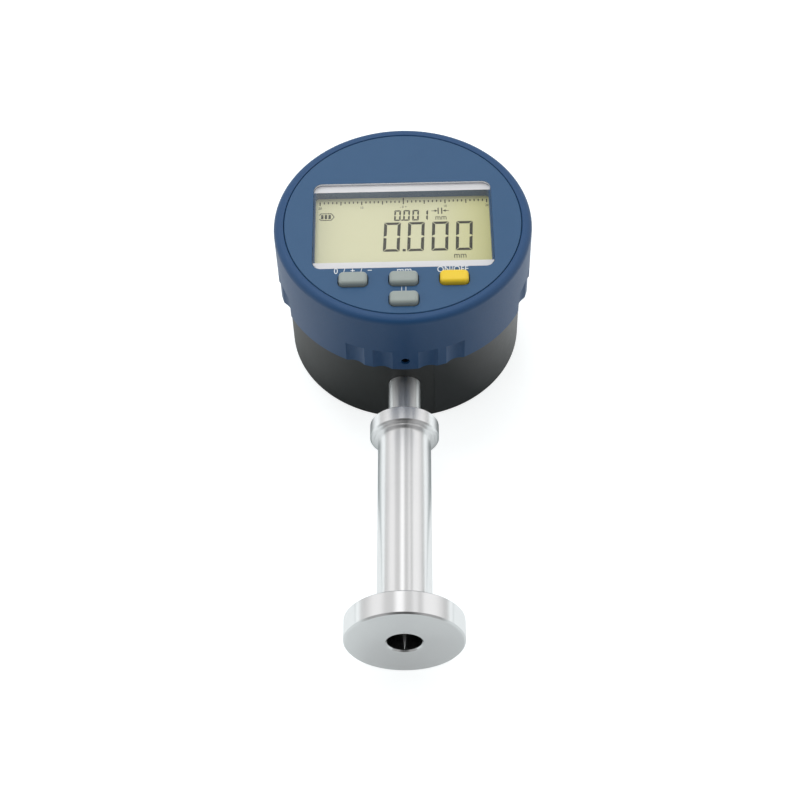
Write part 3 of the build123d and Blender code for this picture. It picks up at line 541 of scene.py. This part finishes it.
def add_bar(work, outline):
    """Adds a thin flat bar with an outline to a bmesh, at the segments' level."""
    bottom = [work.verts.new((x, y, segment_level)) for x, y in outline]
    top = [work.verts.new((x, y, segment_level + segment_thickness)) for x, y in outline]
    work.faces.new(top)
    work.faces.new(bottom[::-1])
    for here in range(len(outline)):
        after = (here + 1) % len(outline)
        work.faces.new((bottom[here], bottom[after], top[after], top[here]))


def add_block(work, left, right, low, high):
    """Adds an upright rectangular bar to a bmesh."""
    add_bar(work, [(left, low), (right, low), (right, high), (left, high)])


def finish_segments(name, work):
    """Turns a bmesh of bars into a piece of the display."""
    bmesh.ops.recalc_face_normals(work, faces=work.faces)
    new_head_piece(name, work, segment_ink)


def digits(name, words, left, bottom, width, height, pitch, stroke, gap):
    """Seven-segment noughts and ones with mitred corners, and points after digits."""
    work = bmesh.new()
    # Outlines about the digit's middle: the top bar, and the upper bar on the right
    half, rise = width / 2, height / 2
    bar = [
        (-half + gap, rise),
        (half - gap, rise),
        (half - gap - stroke, rise - stroke),
        (-half + gap + stroke, rise - stroke),
    ]
    post = [
        (half, rise - gap),
        (half, gap),
        (half - stroke, gap + stroke / 2),
        (half - stroke, rise - gap - stroke),
    ]
    middle = left + half
    for mark in words:
        if mark == ".":
            point = middle - pitch / 2
            add_block(work, point - stroke / 2, point + stroke / 2, bottom, bottom + stroke)
            continue
        segments = [(post, 1, 1), (post, 1, -1)]
        if mark == "0":
            segments += [(post, -1, 1), (post, -1, -1), (bar, 1, 1), (bar, 1, -1)]
        for outline, flip_x, flip_y in segments:
            slanted = [
                (middle + flip_x * x + digit_slant * flip_y * y, bottom + rise + flip_y * y)
                for x, y in outline
            ]
            add_bar(work, slanted)
        middle += pitch
    finish_segments(name, work)


digits(
    "reading_digits",
    "0.000",
    left=-4.85 * mm,
    bottom=-7.4 * mm,
    width=4.15 * mm,
    height=9.6 * mm,
    pitch=6.03 * mm,
    stroke=0.76 * mm,
    gap=0.12 * mm,
)
digits(
    "small_digits",
    "0.001",
    left=-2.1 * mm,
    bottom=2.75 * mm,
    width=1.65 * mm,
    height=3.55 * mm,
    pitch=2.28 * mm,
    stroke=0.42 * mm,
    gap=0.08 * mm,
)
for name, height, x, y in (
    ("reading_unit", 1.9 * mm, 14.1 * mm, -8.9 * mm),
    ("small_unit", 1.75 * mm, 9.65 * mm, 3.75 * mm),
):
    lettering(
        name, "mm", height, (x, y), segment_level, segment_thickness, segment_ink
    )

# Signs on the display: two arrows that point at a pair of bars, and a full battery. They are
# segments of the same cell, and as dark as its digits.
signs = bmesh.new()
arrow_y = 5.9 * mm
arrow_length = 1.5 * mm
shaft_width = 0.18 * mm
head_length = 0.7 * mm
head_width = 0.84 * mm
for tip, way in ((8.8 * mm, 1), (10.2 * mm, -1)):
    tail = tip - way * arrow_length
    add_block(
        signs,
        min(tail, tip),
        max(tail, tip),
        arrow_y - shaft_width / 2,
        arrow_y + shaft_width / 2,
    )
    back = tip - way * head_length
    add_bar(
        signs, [(tip, arrow_y), (back, arrow_y + head_width / 2), (back, arrow_y - head_width / 2)]
    )
pair_width = 0.28 * mm
pair_low = 4.8 * mm
pair_high = 6.9 * mm
for x in (9.0 * mm, 9.9 * mm):
    add_block(signs, x - pair_width / 2, x + pair_width / 2, pair_low, pair_high)
battery_y = 4.55 * mm
battery_line = 0.2 * mm
battery_outline = [
    Vector((x * mm, y * mm + battery_y))
    for x, y in (
        (-21.0, 0.6), (-20.6, 1.12), (-18.0, 1.12), (-17.25, 0), (-18.0, -1.12), (-20.6, -1.12),
        (-21.0, -0.6),
    )
]
for start, end in zip(battery_outline, battery_outline[1:]):
    side = (end - start).orthogonal().normalized() * battery_line / 2
    add_bar(signs, [start - side, end - side, end + side, start + side])
charge_width = 0.6 * mm
charge_height = 1.4 * mm
for x in (-20.27 * mm, -19.35 * mm, -18.4 * mm):
    add_block(
        signs,
        x - charge_width / 2,
        x + charge_width / 2,
        battery_y - charge_height / 2,
        battery_y + charge_height / 2,
    )
finish_segments("display_signs", signs)

# Tick scale on the display: forty steps over small numbers, as segments of the same cell.
# The bars at the fives are longer, and the middle one also rises over the others.
ticks = bmesh.new()
scale_left = -20.87 * mm
scale_right = 21.38 * mm
scale_top = 9.6 * mm
scale_steps = 40
tick_width = 0.28 * mm
tick_height = 0.7 * mm
fifth_tick_height = 1.2 * mm
middle_rise = 0.9 * mm
number_height = 0.8 * mm
number_y = 7.5 * mm
for tick in range(scale_steps + 1):
    x = scale_left + (scale_right - scale_left) * tick / scale_steps
    drop = fifth_tick_height if tick % 5 == 0 else tick_height
    add_block(ticks, x - tick_width / 2, x + tick_width / 2, scale_top - drop, scale_top)
scale_middle = (scale_left + scale_right) / 2
add_block(
    ticks,
    scale_middle - tick_width / 2,
    scale_middle + tick_width / 2,
    scale_top,
    scale_top + middle_rise,
)
finish_segments("display_scale", ticks)
for tick, words in ((0, "20"), (10, "10"), (20, "- 0 +"), (30, "10"), (40, "20")):
    x = scale_left + (scale_right - scale_left) * tick / scale_steps
    lettering(
        f"scale_number_{tick}",
        words,
        number_height,
        (x, number_y),
        segment_level,
        segment_thickness,
        segment_ink,
    )

# Holder: white polycarbonate, moulded smooth, which keeps the display's glass and its contact
# strips in line on the board. It has a soft, even shine, with flow marks drawn at 0.3 mm.
polycarbonate, tree, shader, where = new_material("white_polycarbonate", roughness=0.4, IOR=1.58)
mottle(tree, shader, where, size=5 * mm, dark="#D9DAD6", light="#E6E7E3")
grain(tree, shader, where, size=0.3 * mm, depth=0.01 * mm, rough_low=0.34, rough_high=0.48)
finish_nodes(polycarbonate, "lcd_holder")

# Buttons: satin ABS caps, three grey and one yellow, moulded smooth with soft edges that take
# a thin line of light. They slide in the panel's holes. Their grain is drawn at 0.3 mm.
for name, dark, light, buttons in (
    ("grey_button_abs", "#929B97", "#9BA4A0", ("zero_button", "unit_button", "hold_button")),
    ("yellow_button_abs", "#E8C527", "#ECCB33", ("power_button",)),
):
    cap, tree, shader, where = new_material(name, roughness=0.35, IOR=1.53)
    mottle(tree, shader, where, size=2 * mm, dark=dark, light=light)
    grain(tree, shader, where, size=0.3 * mm, depth=0.01 * mm, rough_low=0.3, rough_high=0.44)
    finish_nodes(cap, *buttons)

# Floor: seamless white paper, laid under the gauge. It renders white under the camera and
# keeps a soft shadow. For glossy rays it glows with painted light, seen in the metal as a
# painted reflection: grey before the foot, lighter along the tube and beside the case. Close
# to the case it has no glow, and stays dark as painted shade.
floor_half = 6.0
fibre_length = 2.5 * mm
camera_glow = 0.74
# Levels of the painted glow seen in the metal, at places along the gauge in millimetres
ahead_start = -120
ahead_length = 100
ahead_levels = ((-104, 0.22), (-90, 0.45), (-60, 0.45), (-52, 0.0))
# Its level beside the case, where along the gauge that begins, and how far out
aside_level = 0.55
beside_case_start = -60 * mm
beside_case_end = -40 * mm
aside_start = 20 * mm
aside_end = 44 * mm
floor_mesh = bpy.data.meshes.new("floor")
floor_mesh.from_pydata(
    [(x * floor_half, y * floor_half, 0) for x, y in ((-1, -1), (1, -1), (1, 1), (-1, 1))],
    [],
    [(0, 1, 2, 3)],
)
floor = bpy.data.objects.new("floor", floor_mesh)
bpy.context.scene.collection.objects.link(floor)
floor.location.z = cad_low.z


def grey_ramp(tree, share, start, span, levels):
    """A ramp of grey levels at places along a span, read at a share of it."""
    ramp = add_node(tree, "ValToRGB", {"Fac": share})
    stops = ramp.color_ramp.elements
    # A new ramp already has two stops, so only the others are added
    for index, (at, level) in enumerate(levels):
        stop = stops[index] if index < 2 else stops.new((at - start) / span)
        stop.position = (at - start) / span
        stop.color = (level, level, level, 1)
    return ramp.outputs["Color"]


paper, tree, shader, where = new_material(
    "white_paper", roughness=0.9, IOR=1.45, Specular_IOR_Level=0.0
)
fibre = add_node(tree, "TexNoise", {"Vector": where, "Scale": 1 / fibre_length, "Detail": 2})
tone = add_node(
    tree,
    "MixRGB",
    {"Fac": fibre.outputs["Fac"], "Color1": linear("#B4BCBD"), "Color2": linear("#BAC1C2")},
)
tree.links.new(tone.outputs["Color"], shader.inputs["Base Color"])
shader.inputs["Emission Color"].default_value = (1, 1, 1, 1)
rays = add_node(tree, "LightPath").outputs
seen = add_node(
    tree, "Math", {0: rays["Is Camera Ray"], 1: camera_glow}, operation="MULTIPLY"
)
spot = add_node(tree, "SeparateXYZ", {"Vector": where}).outputs
along = add_node(
    tree,
    "MapRange",
    {
        "Value": spot["Y"],
        "From Min": ahead_start * mm,
        "From Max": (ahead_start + ahead_length) * mm,
    },
)
ahead = grey_ramp(tree, along.outputs["Result"], ahead_start, ahead_length, ahead_levels)
off_centre = add_node(tree, "Math", {0: spot["X"]}, operation="ABSOLUTE")
beside_case = add_node(
    tree,
    "MapRange",
    {
        "Value": spot["Y"],
        "From Min": beside_case_start,
        "From Max": beside_case_end,
        "To Max": aside_level,
    },
)
aside = add_node(
    tree,
    "MapRange",
    {
        "Value": off_centre.outputs["Value"],
        "From Min": aside_start,
        "From Max": aside_end,
        "To Max": beside_case.outputs["Result"],
    },
)
# Painted light: the paper glows for glossy rays ahead of the foot and beside the gauge
painted_floor_glow = add_node(
    tree, "Math", {0: ahead, 1: aside.outputs["Result"]}, operation="MAXIMUM"
)
mirrored = add_node(
    tree,
    "Math",
    {0: rays["Is Glossy Ray"], 1: painted_floor_glow.outputs["Value"]},
    operation="MULTIPLY",
)
glow = add_node(
    tree, "Math", {0: seen.outputs["Value"], 1: mirrored.outputs["Value"]}, operation="ADD"
)
tree.links.new(glow.outputs["Value"], shader.inputs["Emission Strength"])
floor_mesh.materials.append(paper)

# Studio: soft boxes in a row over the gauge, seen in the metal as long bright lines with
# greyer gaps, and a dark room in front. The camera itself sees only white.
world = bpy.data.worlds.new("soft_box_room")
bpy.context.scene.world = world
world.use_nodes = True
tree = world.node_tree
sky = add_node(tree, "TexCoord").outputs["Generated"]
facing = add_node(tree, "SeparateXYZ", {"Vector": sky}).outputs
roll = add_node(tree, "Math", {0: facing["X"], 1: facing["Z"]}, operation="ARCTAN2")
row = add_node(
    tree,
    "MapRange",
    {"Value": roll.outputs["Value"], "From Min": -math.pi / 2, "From Max": math.pi / 2},
)
# Each level is at an angle from straight up toward the right, in degrees
box_levels = (
    (-90, 0.6), (-80, 0.66), (-70, 0.8), (-60, 0.96), (-44, 0.96), (-36, 0.7),
    (-20, 0.7), (-13, 1.2), (-3, 1.2), (3, 0.68), (13, 0.68), (19, 0.92), (25, 0.92),
    (28, 0.64), (33, 0.64), (38, 0.98), (60, 0.98), (72, 0.84), (84, 0.55), (90, 0.52),
)
boxes = grey_ramp(tree, row.outputs["Result"], -90, 180, box_levels)
# The room's front is darkest straight ahead
off_axis = add_node(tree, "Math", {0: facing["X"]}, operation="ABSOLUTE")
front_level = add_node(
    tree,
    "MapRange",
    {
        "Value": off_axis.outputs["Value"],
        "From Min": 0.15,
        "From Max": 0.4,
        "To Min": 0.08,
        "To Max": 0.4,
    },
)
front = add_node(
    tree,
    "MapRange",
    {
        "Value": facing["Y"],
        "From Min": -0.55,
        "From Max": 0.1,
        "To Min": front_level.outputs["Result"],
    },
)
room = add_node(tree, "Math", {0: boxes, 1: front.outputs["Result"]}, operation="MULTIPLY")
from_camera = add_node(tree, "LightPath").outputs["Is Camera Ray"]
strength = add_node(
    tree,
    "MixRGB",
    {"Fac": from_camera, "Color1": room.outputs["Value"], "Color2": (1, 1, 1, 1)},
)
tree.links.new(strength.outputs["Color"], tree.nodes["Background"].inputs["Color"])

# Lamps: three fabric soft boxes, one above and behind the gauge and one on each side in
# front. They light the matt pieces, and aren't seen in the metal or through the lens.
gauge_middle = (cad_low + cad_high) / 2
lamp_distance = 0.8
for name, azimuth, elevation, width, length, power in (
    ("top_box", 200, 62, 0.5, 0.4, 2.6),
    ("left_box", -62, 22, 0.5, 0.5, 0.9),
    ("right_box", 62, 22, 0.5, 0.5, 0.8),
):
    lamp = bpy.data.lights.new(name, "AREA")
    lamp.shape = "RECTANGLE"
    lamp.size = width
    lamp.size_y = length
    lamp.energy = power
    box = bpy.data.objects.new(name, lamp)
    bpy.context.scene.collection.objects.link(box)
    round_turn = math.radians(azimuth)
    lift = math.radians(elevation)
    out = Vector(
        (
            math.sin(round_turn) * math.cos(lift),
            -math.cos(round_turn) * math.cos(lift),
            math.sin(lift),
        )
    )
    box.location = gauge_middle + out * lamp_distance
    box.rotation_mode = "QUATERNION"
    box.rotation_quaternion = out.to_track_quat("Z", "Y")
    box.visible_glossy = False
    box.visible_transmission = False

# Camera: full frame with a 75 mm lens. It stands over the foot and looks down along the stem,
# from the place that was fitted to the photograph.
camera_place = (5.646 * mm, -280.337 * mm, 353.132 * mm)
camera_turns = (35.94, 0.928, -0.566)
camera_data = bpy.data.cameras.new("camera")
camera_data.sensor_width = 36.0
camera_data.lens = 75.15
camera_data.clip_start = 0.01
camera = bpy.data.objects.new("camera", camera_data)
bpy.context.scene.collection.objects.link(camera)
camera.location = camera_place
camera.rotation_mode = "ZYX"
camera.rotation_euler = Euler([math.radians(turn) for turn in camera_turns], "ZYX")
bpy.context.scene.camera = camera
bpy.context.scene.view_settings.view_transform = "Standard"
